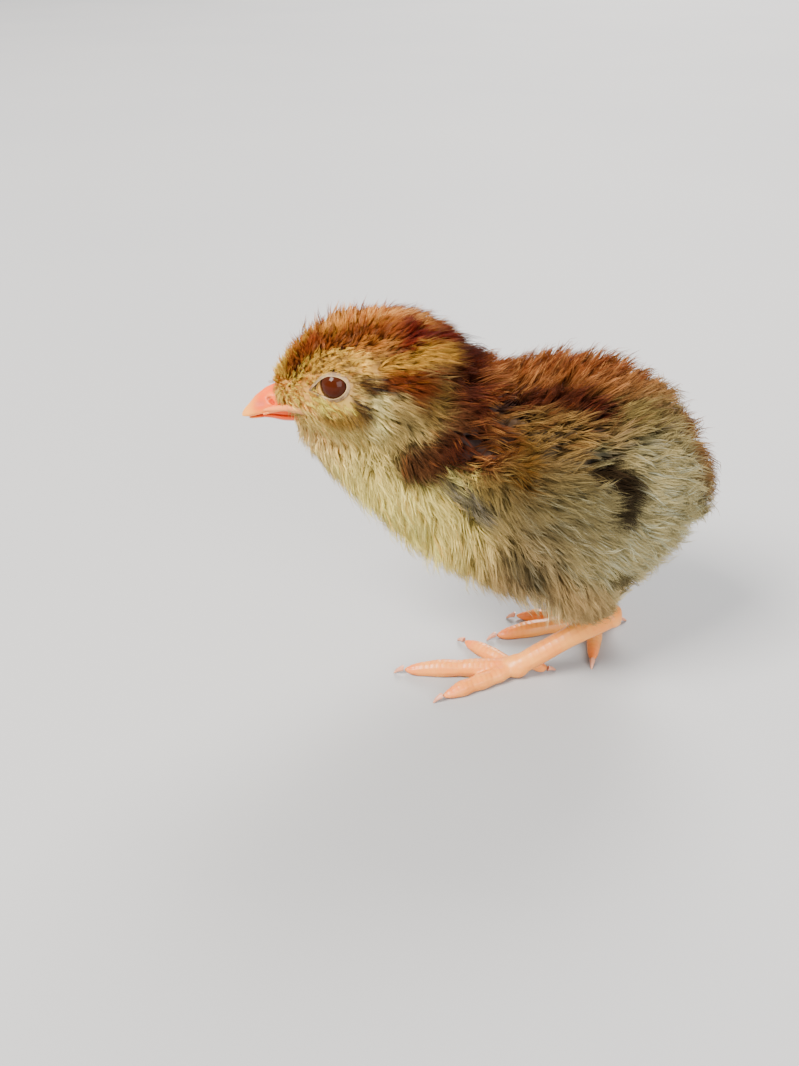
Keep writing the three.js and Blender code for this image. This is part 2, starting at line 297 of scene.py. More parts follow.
# Finishes of the down, each with its colour at the root, at the tip and of the odd streak, and the share
# of streaks
down = {
    "cream": [(250, 227, 122), (250, 234, 138), (250, 200, 94), 0.1],
    "throat": [(244, 193, 139), (250, 222, 160), (250, 198, 126), 0.1],
    "cheek": [(133, 114, 67), (203, 172, 105), (130, 99, 43), 0.12],
    "paleCheek": [(250, 228, 140), (250, 234, 164), (250, 222, 124), 0.1],
    "olive": [(79, 59, 22), (133, 102, 43), (166, 135, 77), 0.15],
    "malar": [(107, 75, 21), (163, 114, 37), (201, 151, 66), 0.12],
    "lore": [(250, 173, 56), (250, 240, 81), (250, 113, 10), 0.2],
    "forehead": [(70, 14, 2), (124, 29, 4), (64, 2, 2), 0.34],
    "crown": [(134, 82, 30), (202, 126, 50), (122, 46, 6), 0.3],
    "crownLine": [(196, 128, 66), (238, 176, 98), (186, 104, 44), 0.2],
    "crownBrown": [(78, 32, 6), (132, 59, 17), (169, 109, 70), 0.15],
    "crownDark": [(57, 2, 2), (101, 9, 2), (136, 31, 2), 0.1],
    "brow": [(156, 117, 47), (212, 162, 67), (143, 96, 31), 0.15],
    "browLine": [(237, 175, 74), (237, 196, 85), (237, 163, 63), 0.05],
    "supercilium": [(157, 110, 39), (203, 151, 56), (158, 95, 24), 0.14],
    "chestnut": [(70, 20, 4), (122, 42, 8), (154, 84, 16), 0.12],
    "darkSpot": [(46, 24, 8), (76, 42, 14), (118, 76, 26), 0.08],
    "lashes": [(182, 141, 59), (250, 238, 103), (203, 132, 41), 0.14],
    "neckDark": [(35, 4, 2), (64, 8, 3), (140, 76, 36), 0.05],
    "neckBrown": [(60, 20, 5), (96, 32, 8), (190, 124, 66), 0.2],
    "back": [(86, 44, 16), (132, 68, 26), (206, 138, 78), 0.28],
    "backDark": [(36, 8, 3), (70, 18, 6), (112, 50, 16), 0.07],
    "backGold": [(80, 66, 34), (128, 109, 60), (75, 40, 7), 0.22],
    "buff": [(88, 67, 33), (151, 116, 63), (94, 46, 11), 0.24],
    "flankBrown": [(53, 31, 3), (96, 59, 6), (133, 107, 51), 0.24],
    "flank": [(61, 56, 32), (103, 93, 58), (135, 132, 99), 0.16],
    "flankGrey": [(115, 103, 69), (181, 163, 109), (229, 217, 170), 0.16],
    "blueGrey": [(60, 57, 47), (98, 91, 77), (149, 144, 135), 0.22],
    "darkPatch": [(12, 5, 2), (30, 14, 2), (61, 41, 21), 0.07],
    "greyPatch": [(55, 48, 29), (94, 82, 51), (135, 126, 99), 0.12],
    "rump": [(127, 118, 81), (192, 177, 125), (217, 220, 186), 0.2],
    "rumpOlive": [(80, 74, 48), (131, 123, 85), (183, 177, 141), 0.14],
    "rumpRed": [(82, 48, 16), (128, 79, 31), (82, 40, 9), 0.16],
    "belly": [(184, 166, 117), (244, 221, 158), (192, 164, 108), 0.12],
    "bellyTan": [(102, 71, 55), (152, 109, 85), (105, 71, 48), 0.14],
    "thigh": [(132, 108, 71), (181, 150, 98), (144, 114, 73), 0.12],
}
# Broad grounds of colour, as the finish and the places it is centred on
grounds = [
    ("forehead", (2, -23, 42)), ("crown", (3, -13, 46)), ("lore", (5, -23.5, 38.5)),
    ("cheek", (9, -12, 35.5)), ("throat", (3, -21, 31.5)), ("cheek", (9, -7, 36)),
    ("cream", (6, -17, 28)), ("cream", (9, -12, 24)), ("cream", (11, -4, 22)), ("cream", (4, -8, 14)),
    ("back", (2, -1, 40)), ("back", (2, 8, 41)), ("back", (0, 17, 39)), ("buff", (10, 6, 36)),
    ("flankBrown", (14, 0, 32.5)), ("flank", (16, 7, 29)), ("flankGrey", (14.5, 8, 23)),
    ("bellyTan", (13, 1.5, 20)), ("rump", (8, 22, 29)), ("rump", (11, 19, 21)), ("rump", (8, 24, 20)),
    ("belly", (6, 8, 9)), ("belly", (5, 18, 9)), ("rump", (2, 28, 22)), ("backGold", (5, 21, 35)),
]
groundReach = 6
# Marks over the grounds: the finish, half the width, the strength and the line
marks = [
    ("crownLine", 0.9, 7, [(0, -20, 44.3), (0, -16.7, 45.6), (0, -12.2, 46.4), (0, -8, 45.9)]),
    ("forehead", 1.4, 10, [(3.4, -22.9, 41.2), (2.8, -22, 42.6), (3.2, -20.4, 43.8)]),
    ("crownBrown", 1.2, 11, [(4.2, -18.8, 44), (4.5, -16.3, 44.9), (4.2, -14.3, 45.4), (3.6, -10.7, 45.6)]),
    ("crownDark", 1.35, 14, [(2, -8.8, 45.8), (4, -8.7, 45.1), (5.4, -9, 44.3)]),
    ("crownDark", 1.05, 12, [(3.9, -8.2, 45), (3.2, -6, 44.4), (1, -4.2, 43.8)]),
    ("crown", 0.9, 6, [(5.7, -15.8, 44.4), (5.8, -12.4, 44.7)]),
    ("crownBrown", 0.5, 7, [(7, -11.4, 43.8), (6.4, -9.4, 44)]),
    ("brow", 1.3, 6, [(6.2, -19.4, 42), (7, -16.6, 42.6)]),
    ("browLine", 0.42, 14, [(5.8, -18.2, 43.3), (6.2, -16.6, 43.7), (7.3, -15.3, 43.1)]),
    ("browLine", 0.8, 9, [(7.5, -15, 43), (8, -14.1, 42.3)]),
    ("supercilium", 1.1, 9, [(8, -11.6, 42.4), (7.5, -9.4, 42.8), (6.3, -7.7, 43.2)]),
    ("supercilium", 1.3, 9, [(6.3, -7.7, 43.2), (4.8, -6, 43.4), (3.6, -4.6, 43)]),
    ("chestnut", 0.6, 13, [(8.6, -10.3, 41.6), (7.5, -7.4, 41.6), (6.3, -5.3, 40.8)]),
    ("chestnut", 1.25, 15, [(8.8, -10.9, 41), (8.6, -9.2, 40.9), (8.2, -7.6, 40), (7.6, -6.5, 39.2)]),
    ("chestnut", 1, 10, [(8.6, -8, 39.2), (8.6, -7.6, 37.9)]),
    ("olive", 1.2, 5, [(7.3, -5.5, 38.9), (7.8, -5.4, 37.4)]),
    ("olive", 1, 5, [(8.3, -6.9, 38), (8.6, -6.7, 36.3)]),
    ("darkSpot", 0.58, 24, [(8.8, -14.3, 40.9)]),
    ("darkSpot", 0.6, 24, [(9.2, -13.6, 40.1), (9.2, -12.3, 40.2)]),
    ("darkSpot", 0.5, 14, [(9.4, -13, 39.2)]),
    ("darkSpot", 0.45, 14, [(9.2, -15.6, 38.6)]),
    ("darkSpot", 0.95, 13, [(9.4, -14.9, 37.4), (9.5, -14, 36.9)]),
    ("malar", 0.9, 6, [(7.2, -18.6, 35.4), (8.4, -17, 35.5), (9.3, -14.4, 36)]),
    ("paleCheek", 0.95, 9, [(9.5, -12.6, 38.6), (9.5, -12.5, 36.8), (8.6, -13.1, 34)]),
    ("lashes", 0.75, 9, [(7.2, -20.2, 37.7), (8.4, -18.3, 37.5), (9.1, -16.2, 37.6)]),
    ("neckDark", 1.9, 10, [(1, -1.9, 41.3), (4, -1.8, 40.6), (6.9, -2.2, 38.4)]),
    ("neckDark", 2.4, 11, [(7.4, -2.1, 38), (8.9, -2.7, 35.8), (10, -3.8, 33.4)]),
    ("neckDark", 2.1, 20, [(10, -4, 33.2), (10.6, -6.4, 31.8), (10.5, -8.8, 31.1)]),
    ("neckBrown", 2.2, 7, [(6.2, 0.4, 38.4), (9.3, 1, 35.4), (12, -0.4, 33.2)]),
    ("backDark", 1.45, 13, [(6.5, 3.8, 38.5), (6.8, 7.5, 38.9), (7.4, 10.7, 38.6), (7.9, 12.6, 38)]),
    ("backDark", 1, 6, [(6.6, -0.6, 38.5), (6.7, 3.8, 38.4)]),
    ("backDark", 0.9, 8, [(7.7, 12.4, 38), (8.9, 11.7, 37.3)]),
    ("neckBrown", 0.8, 3, [(0, 2, 41), (0, 10, 41.4), (0, 19, 38.8)]),
    ("backGold", 1.5, 7, [(7.4, 16.4, 37.3), (6.2, 19.6, 36.2)]),
    ("buff", 1.3, 7, [(7.6, 1.6, 37.1), (9.7, 5, 36.1), (10.3, 7.4, 35.7), (11, 10, 35)]),
    ("flankBrown", 1, 7, [(9.4, 3.4, 35.9), (12.6, 4.4, 34.6)]),
    ("flankBrown", 1.5, 6, [(10.4, 0.7, 34.2), (14.7, 3.5, 34), (15.5, 2.6, 32)]),
    ("darkPatch", 1.1, 12, [(12.4, 11.8, 32), (12.5, 13.9, 31.4), (12.6, 15.4, 30)]),
    ("darkPatch", 1.5, 12, [(12.6, 15.6, 30), (12.9, 16.3, 28.2), (13.8, 15.6, 26.4)]),
    ("rumpOlive", 0.9, 6, [(8.7, 18.8, 34.2), (10.1, 17.4, 33.7)]),
    ("rumpOlive", 1, 4, [(11.6, 12.6, 33.8)]),
    ("greyPatch", 1.7, 8, [(13.5, 3.2, 19.8), (12.7, 5.6, 16.8)]),
    ("greyPatch", 1.1, 7, [(11.6, 15.6, 16.3), (8.9, 17.7, 14.3)]),
    ("blueGrey", 1.5, 8, [(11.4, -3.8, 28.6), (12.7, -1.4, 25.6)]),
    ("cream", 0.55, 14, [(10.9, -5.2, 30.7), (12, -3.2, 29)]),
    ("cream", 0.4, 12, [(12.9, -2.7, 31.6), (12.3, -3.4, 31)]),
    ("rumpRed", 2.7, 5, [(1, 25.2, 32.4), (2, 27, 28.4), (1.5, 28.4, 24.8)]),
    ("thigh", 1.6, 6, [(13.4, 8.4, 16), (14, 10, 14.6)]),
    ("thigh", 3, 4, [(12.6, 12, 13), (12.6, 14, 10)]),
]
finishes = {name: [paint(*colour) for colour in row[:3]] + [row[3]] for name, row in down.items()}


def coatAt(spots):
    # root, tip and streak colours and the share of streaks at each place, for the skin and the coat alike
    parts = [(name, nearness(spots, place, groundReach)) for name, place in grounds]
    parts += [(name, strength * nearness(spots, path, reach, 4)) for name, reach, strength, path in marks]
    total = sum(weight for _, weight in parts) + 1e-9
    sums = [sum(weight[:, None] * finishes[name][i] for name, weight in parts) for i in range(3)]
    streaks = sum(weight * finishes[name][3] for name, weight in parts)
    return [rows / total[:, None] for rows in sums] + [streaks / total]


# How the down lies: place, direction of the tips, degrees that it stands up from the skin, its depth and
# how far its longest tips hang clear of the body
lies = [
    ((0, -25.5, 39.5), (0, 0.1, 1), 60, 1.2, 0.5), ((3, -23, 41.5), (0.1, 0.2, 1), 64, 1.7, 1.3),
    ((0, -21, 43.6), (0, 0.3, 1), 68, 2.3, 1.9), ((3, -17, 45.2), (0.1, 0.6, 0.7), 64, 2.4, 1.6),
    ((2, -11, 46.3), (0.05, 1, 0.2), 48, 2.3, 0.8), ((2, -5, 44), (0, 1, 0), 44, 2.6, 1),
    ((5.2, -23.4, 38), (0.4, 1, 0.1), 24, 0.9, 0.1), ((2.6, -24.8, 35), (0.5, 1, -0.3), 18, 0.6, 0),
    ((6.6, -20, 41), (0.2, 1, 0.5), 26, 0.8, 0.1), ((7.4, -16.5, 43), (0.1, 1, 0.15), 26, 1, 0.1),
    ((7.6, -17.8, 39.8), (0.2, 1, -0.1), 18, 0.3, 0), ((9, -13.6, 40), (0.1, 1, -0.1), 22, 0.8, 0.1),
    ((8, -18, 36.4), (0.1, 0.35, -1), 22, 0.9, 0.1), ((9.4, -12, 37), (0.05, 0.75, -0.65), 28, 1.5, 0.3),
    ((6, -20.4, 34.4), (0.1, 0.7, -0.7), 18, 0.8, 0.1),
    ((2.6, -22.8, 32.6), (0, 0.75, -0.65), 30, 1.2, 0.6),
    ((1.4, -24.2, 33.4), (0.2, 0.3, -1), 45, 0.7, 0.8), ((8.6, -8, 40), (0.1, 1, -0.1), 32, 2, 0.5),
    ((9, -8, 36), (0.1, 0.85, -0.5), 32, 2.2, 0.5), ((3, -1, 40.4), (0.1, 1, 0), 46, 3.2, 1),
    ((7.6, -2, 37.6), (0.2, 0.95, -0.4), 38, 3, 0.7), ((5, -19, 30), (0, 0.45, -0.9), 28, 2, 0.8),
    ((9, -12, 25), (0, 0.4, -0.95), 28, 3.2, 1.2), ((3, -13.6, 22), (0, 0.35, -0.95), 32, 3.4, 1.6),
    ((7, -8, 17), (0, 0.5, -0.9), 40, 3.6, 2), ((10, -6, 33), (0.1, 0.8, -0.6), 32, 2.8, 0.5),
    ((13, 0, 32.5), (0.1, 0.95, -0.35), 30, 3, 0.4), ((0, 4, 40.6), (0, 1, 0.5), 54, 3.8, 1.3),
    ((6, 9, 39), (0.1, 1, 0.4), 50, 3.8, 1.2), ((2, 18, 39.4), (0.05, 1, 0.4), 50, 3.8, 1.3),
    ((10.6, 8, 35.6), (0.2, 1, 0.1), 40, 3.4, 0.8), ((3, 25, 33), (0.1, 1, 0.25), 44, 3.8, 1.2),
    ((9, 23, 27), (0.5, 1, 0.05), 42, 3.8, 1.2), ((0, 29, 24), (0, 1, -0.15), 34, 2.6, 1.2),
    ((9, 20, 18), (0.4, 0.85, -0.4), 42, 3.8, 1.2), ((15.6, 6, 30), (0.05, 1, -0.15), 30, 3, 0.5),
    ((15, 10, 23), (0.1, 0.9, -0.5), 32, 3.2, 0.6), ((13, 5, 17), (0.05, 0.5, -0.9), 38, 3.4, 2.4),
    ((5, 8, 8.5), (0.1, 0.7, -0.7), 40, 3.4, 1.2), ((3, 20, 10), (0.1, 0.8, -0.6), 42, 3.4, 1.4),
    ((13, 11, 13), (0.1, 0.5, -0.85), 34, 2.8, 0.8), ((8.6, 15, 11), (0.1, 0.8, -0.6), 24, 1.6, 0),
    ((14.6, 8, 28.6), (0.05, 1, -0.2), 28, 2.4, 0.5),
]
lieReach = 3.6


def lieAt(spots):
    # direction in the open, lift in radians, depth and hang of the coat at each place
    weights = [nearness(spots, place, lieReach) + 1e-7 * nearness(spots, place, 14) for place, *_ in lies]
    total = sum(weights)[:, None]
    way = sum(w[:, None] * unit(np.array(row[1], float)) for w, row in zip(weights, lies))
    lift, depth, hang = (sum(w * row[i] for w, row in zip(weights, lies)) / total[:, 0] for i in (2, 3, 4))
    way[:, 0] *= np.where(spots[:, 0] < 0, -1, 1)
    return unit(way), np.radians(lift), depth, hang


eyePlan = {
    "centre": (6.3, -17.5, 39.7), "radius": 2.03,
    "forwards": 15, "up": 5,  # degrees that it looks ahead and up
    "cornea": 0.14, "corneaReach": 0.62,  # its height, and the share of the radius from which it bulges
}


def eyeCentre(side):
    return Vector(eyePlan["centre"]) * Vector((side, 1, 1))


def eyeAxis(side):
    turn, rise = math.radians(eyePlan["forwards"]), math.radians(eyePlan["up"])
    return Vector((side * math.cos(turn) * math.cos(rise), -math.sin(turn) * math.cos(rise), math.sin(rise)))


# One skin under the whole coat, inside the solids of flesh by the depth of the down
skinPlan = {
    "voxel": 0.5, "grow": 0.22, "rounds": 6,
    "wayRounds": 6, "depthRounds": 12, "innerRounds": 4,
    "lidBed": 1.3, "socket": 1.2, "socketWide": 1.8,  # bed of the lids and hollow for the eyeball
    "pit": 3.3, "pitEdge": 0.9,  # half the width of the bed and of its edge
}
fleshNodes = ["torso", "neck", "head", "wing_left", "wing_right", "thigh_left", "thigh_right"]
eyeNodes = [part + side for part in ("eye_", "lids_") for side in ("left", "right")]
skin = castOf(fleshNodes + eyeNodes, "skin", skinPlan["voxel"], skinPlan["grow"], skinPlan["rounds"])
outerSpots, outerWays, skinEdges = spotsOf(skin.data), leaning(skin.data), edgesOf(skin.data)
outerWays = unit(evened(outerWays, skinEdges, skinPlan["wayRounds"]))
skinDepth = evened(lieAt(outerSpots)[2], skinEdges, skinPlan["depthRounds"])
innerSpots = outerSpots - outerWays * skinDepth[:, None]
innerSpots = evened(innerSpots, skinEdges, skinPlan["innerRounds"])
for side, _ in bothSides:
    axis, middle = np.array(eyeAxis(side)), np.array(eyePlan["centre"]) * [side, 1, 1]
    out = (innerSpots - middle) @ axis
    away = np.linalg.norm(innerSpots - middle - out[:, None] * axis, axis=1)
    under = skinPlan["lidBed"] - skinPlan["socket"] * np.clip(1 - away / skinPlan["socketWide"], 0, 1)
    share = np.clip((skinPlan["pit"] - away) / skinPlan["pitEdge"], 0, 1) * (out > 0)
    innerSpots += ((np.minimum(out, under) - out) * share)[:, None] * axis
corners = readAll(skin.data.loops, "vertex_index")
faceStarts, faceSizes = (readAll(skin.data.polygons, name) for name in ("loop_start", "loop_total"))
outerTree = BVHTree.FromPolygons(
    [Vector(spot) for spot in outerSpots],
    [corners[start:start + size].tolist() for start, size in zip(faceStarts, faceSizes)],
)
moveTo(skin.data, innerSpots)
rootColour, tipColour = coatAt(outerSpots)[:2]
colourPoints(skin.data, "markings", 0.75 * rootColour + 0.1 * tipColour)


def skinFinish(wire):
    where = wire.place()
    grain, fine = wire.noise(where, 900.0), wire.noise(where, 3500.0, 2.0)
    tone = wire.mix(grain, wire.attribute("markings"), paint(120, 84, 60), "MULTIPLY")
    colour = wire.mix(0.35, wire.attribute("markings"), tone)
    return {
        "Base_Color": colour,
        "Roughness": 0.7 + 0.2 * fine,
        "Normal": wire.bump(grain + 0.4 * fine, 0.5, 0.0002),
    }


wear(skin, material("chick_skin", skinFinish))
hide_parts(*fleshNodes, "tail")
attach(skin, "root")
print("skin made,", len(skin.data.polygons), "faces")

# The soft edge of the mouth behind the bill: its line, its lips and the width that the down leaves bare
gape = {
    "line": [(2.8, -24.8, 35.2), (4.1, -23.4, 35.5), (5.2, -22.4, 35.6)],
    "bare": 0.45,
    "sunk": 0.26, "sinks": 0.13,  # at its front, and more for each millimetre to the rear
    "free": -25.2,  # in front of this y the lips lie on the bill
    "upper": [
        (1.7, -27, 34.5, 0.16), (2.5, -25.3, 35, 0.34), (3.9, -23.8, 35.5, 0.4),
        (5.3, -22.4, 35.7, 0.34), (6.4, -20.9, 35.5, 0.2), (6.9, -20, 35.1, 0.08),
    ],
    "lower": [
        (1.9, -26.6, 34.1, 0.14), (2.7, -25, 34.55, 0.24), (4, -23.5, 35, 0.26),
        (5.3, -22.1, 35.15, 0.22), (6.5, -20.5, 34.95, 0.1),
    ],
}

# Triangles of the skin, from which the tufts grow: one of a face with three corners, two of one with four
triangles = np.concatenate([
    np.stack([corners[starts + step] for step in steps], 1)
    for starts, steps in ((faceStarts[faceSizes >= 3], (0, 1, 2)), (faceStarts[faceSizes == 4], (0, 2, 3)))
])
sides = outerSpots[triangles]
middles = sides.mean(1)
areas = np.linalg.norm(np.cross(sides[:, 1] - sides[:, 0], sides[:, 2] - sides[:, 0]), axis=1) / 2


def above(point, tilt):
    # how far each triangle is on the head's side of a tilted plane, as the solids are parted
    facing = np.array([0, math.cos(math.radians(tilt)), math.sin(math.radians(tilt))])
    return -(middles - point) @ facing


x, y, z = middles.T
onHead, onNeck = above((0, -12, 34.6), -48) > 0, above((0, -7.2, 30), -36) > 0
# the first test that holds names the area, and what is left is the right flank
areaTests = {
    "crown": onHead & (z > 40.6), "face": onHead, "neck": onNeck, "belly": z < 13.5,
    "back": (z > 33.5) & (y < 24), "rump": y > 19.5, "breast": (y < -1) & (z < 30), "flank_left": x > 0,
}
areaOf = np.select(list(areaTests.values()), list(areaTests), "flank_right")
# Tufts of each area: the rings along a strand and its girth at each, how many tufts, the strands in one, how
# far the tufts sway off the lie, half a strand's width, how far the strands of a tuft spread, how far the
# tufts gather into locks and how wide a lock is
shortStrand = {"rings": (0.0, 0.5), "girths": (1.0, 0.72)}
longStrand = {
    "rings": (0.0, 0.4, 0.76), "girths": (1.0, 0.86, 0.5), "tufts": 2050, "strands": 5, "sway": 0.42,
}
tuftPlan = {
    "crown": {
        **shortStrand, "tufts": 2700, "strands": 6, "sway": 0.28,
        "thick": 0.036, "spread": 0.13, "lock": 0.24, "wide": 1,
    },
    "face": {
        **shortStrand, "tufts": 3200, "strands": 5, "sway": 0.2,
        "thick": 0.032, "spread": 0.1, "lock": 0.12, "wide": 0.8,
    },
    "neck": {**longStrand, "thick": 0.046, "spread": 0.24, "lock": 0.35, "wide": 1.3},
    "breast": {**longStrand, "thick": 0.046, "spread": 0.24, "lock": 0.5, "wide": 1.8},
    "back": {**longStrand, "thick": 0.05, "spread": 0.22, "lock": 0.3, "wide": 1.3},
    "flank_left": {**longStrand, "thick": 0.05, "spread": 0.26, "lock": 0.4, "wide": 1.6},
    "flank_right": {**longStrand, "thick": 0.05, "spread": 0.26, "lock": 0.4, "wide": 1.6},
    "rump": {**longStrand, "thick": 0.05, "spread": 0.28, "lock": 0.4, "wide": 1.6},
    "belly": {**longStrand, "thick": 0.05, "spread": 0.3, "lock": 0.5, "wide": 2},
}
tuft = {
    "sunk": 0.25, "longest": 5.6, "steepest": 1.25,
    "patch": 0.003, "pitch": 1.1, "fill": 0.96,  # of the unwrap: a tuft's patch, their pitch, what is filled
    "stray": 0.14, "strayLift": 1.3,  # share of tufts that stand up out of the rest, and how far
    "swayWave": 3.4, "swayLift": 0.22, "shadeWave": 2.2, "shadeSwing": 0.16,  # waves over the coat
    "prouds": (0.15, 0.4), "proudLeast": -0.6,  # of the hang, how far tips stand out of the solids
    "lifts": (0.85, 1.3), "rises": (0.6, 1.02), "runs": (0.75, 1.1), "gathers": (0.5, 1.3),
    "bends": (0.5, 0.9), "cuts": (0.68, 1.04), "girths": (0.7, 1.4),
    # rootPaintedShades: range of the painted shade deep in the coat, a random share that darkens each tuft's
    # roots
    "tuftShades": (0.86, 1.12), "strandShades": (0.88, 1.12), "rootPaintedShades": (0.7, 1),
    "spreads": (1, 0.8, 0.45, 0.5),  # of strands at the root, the bend and the tip, and loose at the tip
    "eyeBare": 1.95, "eyeClear": 1.7,  # from the axis of the eye to the nearest roots and tips
}
# The line through head, neck and trunk that the unwrap runs along, as y and z
unwrapLine = np.array([
    (-27, 35.5), (-20, 37.5), (-13, 37.3), (-6, 32.5), (0, 27.5), (8, 24), (18, 23.9), (29, 22.4),
], float)


def unwrapOf(spots):
    # the angle round that line and the way along it, as a map of the skin's own shape
    best = np.full(len(spots), 1e9)
    along, turn = np.zeros(len(spots)), np.zeros(len(spots))
    lengths = np.linalg.norm(np.diff(unwrapLine, axis=0), axis=1)
    for i, (start, end) in enumerate(zip(unwrapLine[:-1], unwrapLine[1:])):
        way = (end - start) / lengths[i]
        reach = np.clip((spots[:, 1:] - start) @ way, 0, lengths[i])
        off = spots[:, 1:] - start - reach[:, None] * way
        away = np.hypot(spots[:, 0], np.linalg.norm(off, axis=1))
        rise = off @ [-way[1], way[0]]
        nearer = away < best
        best = np.where(nearer, away, best)
        along = np.where(nearer, lengths[:i].sum() + reach, along)
        turn = np.where(nearer, np.arctan2(spots[:, 0], rise), turn)
    return np.stack([0.02 + 0.95 * (turn / (2 * math.pi) + 0.5), 0.02 + 0.95 * along / lengths.sum()], 1)


def eyeAway(spots):
    # how far places are from the axis of the eye on their side, and how far out they are along it
    own = spots * np.where(spots[:, :1] < 0, [[-1, 1, 1]], [[1, 1, 1]]) - eyePlan["centre"] + [0, 0.3, 0]
    out = own @ np.array(eyeAxis(1))
    return np.linalg.norm(own - out[:, None] * np.array(eyeAxis(1)), axis=1), out


def growDown(area, plan):
    # one piece of coat: tufts of fine tapered strands that bend along the lie and meet near their tips
    inArea = np.flatnonzero(areaOf == area)
    many, each = plan["tufts"], plan["strands"]
    bare = np.clip(1.6 * nearness(middles[inArea], gape["line"], gape["bare"]), 0, 1)
    bare = np.maximum(bare, np.clip(tuft["eyeBare"] - eyeAway(middles[inArea])[0], 0, 0.2) / 0.2)
    room = areas[inArea] * (1 - bare)
    picked = inArea[chance.choice(len(inArea), many, p=room / room.sum())]
    shares = chance.random((many, 2))
    shares = np.where(shares.sum(1, keepdims=True) > 1, 1 - shares, shares)
    shares = np.stack([1 - shares.sum(1), shares[:, 0], shares[:, 1]], 1)[:, :, None]
    root, outer = ((rows[triangles[picked]] * shares).sum(1) for rows in (innerSpots, outerSpots))
    lean = unit((outerWays[triangles[picked]] * shares).sum(1))
    depth = (skinDepth[triangles[picked]] * shares[:, :, 0]).sum(1)
    way, lift, _, hang = lieAt(outer)
    sway = ripple(outer, tuft["swayWave"], 5)
    way = unit(way + plan["sway"] * (sway + chance.normal(0, 0.6, (many, 3))))
    way = unit(way - (way * lean).sum(1, keepdims=True) * lean)
    stray = chance.random(many) < tuft["stray"]
    lift = lift * chance.uniform(*tuft["lifts"], many) * (1 + tuft["swayLift"] * sway[:, 0])
    lift = lift * np.where(stray, tuft["strayLift"], 1)
    rise = depth * (chance.uniform(*tuft["rises"], many) + 0.1 * sway[:, 1] + 0.14 * stray) + skinPlan["grow"]
    proud = hang * np.clip(chance.normal(*tuft["prouds"], many), tuft["proudLeast"], 1)
    rise += np.maximum(proud, 0)
    longest = tuft["longest"] * chance.uniform(*tuft["runs"], many)
    run = np.minimum(rise / np.tan(np.minimum(lift, tuft["steepest"])), longest)
    tip = root + lean * rise[:, None] + way * run[:, None]

    # locks: tufts bend towards the tip of the leading tuft beside them
    leaders = chance.choice(many, max(8, int(areas[inArea].sum() / plan["wide"] ** 2)), replace=False)
    nearest = np.concatenate([
        np.linalg.norm(part[:, None] - root[leaders][None], axis=2).argmin(1)
        for part in np.array_split(root, 8)
    ])
    leader = leaders[nearest]
    gather = plan["lock"] * chance.uniform(*tuft["gathers"], many)[:, None]
    tip = tip * (1 - gather) + (tip[leader] + 0.3 * (root - root[leader])) * gather
    spare = proud - 0.12 * depth * chance.random(many) + 0.25 * stray
    for i in range(many):
        place, facing, _, _ = outerTree.find_nearest(Vector(tip[i]))
        out = (Vector(tip[i]) - place).dot(facing) - spare[i]
        if out > 0:
            tip[i] -= np.array(facing) * out
    # no tuft crosses the eye
    rootAway, (tipAway, tipOut) = eyeAway(root)[0], eyeAway(tip)
    keep = np.clip((rootAway - tuft["eyeClear"]) / np.maximum(rootAway - tipAway, 0.01), 0.15, 1)
    crosses = (tipAway < tuft["eyeClear"]) & (tipOut > 0)
    tip = np.where(crosses[:, None], root + (tip - root) * keep[:, None], tip)
    run = np.linalg.norm(tip - root, axis=1)
    bend = root + lean * (rise * chance.uniform(*tuft["bends"], many))[:, None] + way * (run * 0.26)[:, None]
    bend += chance.normal(0, 0.2 * plan["sway"], (many, 3)) * run[:, None]

    roots, tips, bends, leans = (np.repeat(rows, each, 0) for rows in (root, tip, bend, lean))
    total = many * each
    wander = chance.normal(0, 1, (total, 3))
    wander -= (wander * leans).sum(1, keepdims=True) * leans
    atRoot, atBend, atTip, loose = tuft["spreads"]
    roots = roots + wander * plan["spread"] * atRoot - leans * tuft["sunk"]
    bends = bends + wander * plan["spread"] * atBend
    tips = tips + wander * plan["spread"] * atTip + chance.normal(0, loose, (total, 3)) * plan["spread"]
    tips = roots + (tips - roots) * chance.uniform(*tuft["cuts"], (total, 1))

    ringCount = len(plan["rings"])
    rings = np.array(plan["rings"])[None, :, None]
    middle = (1 - rings) ** 2 * roots[:, None] + 2 * rings * (1 - rings) * bends[:, None]
    middle += rings ** 2 * tips[:, None]
    ahead = unit((1 - rings) * (bends - roots)[:, None] + rings * (tips - bends)[:, None])
    side = unit(np.cross(ahead, leans[:, None] + 0.2 * unit(wander)[:, None]))
    over = np.cross(ahead, side)
    girth = np.repeat(1 - 0.3 * stray, each) * chance.uniform(*tuft["girths"], total)
    thick = plan["thick"] * girth[:, None, None] * np.array(plan["girths"])[None, :, None]
    angles = np.radians([90, 210, 330])
    ring = np.stack([middle + thick * (math.cos(a) * side + math.sin(a) * over) for a in angles], 2)
    spots = np.concatenate([ring.reshape(total, 3 * ringCount, 3), tips[:, None]], 1).reshape(-1, 3)

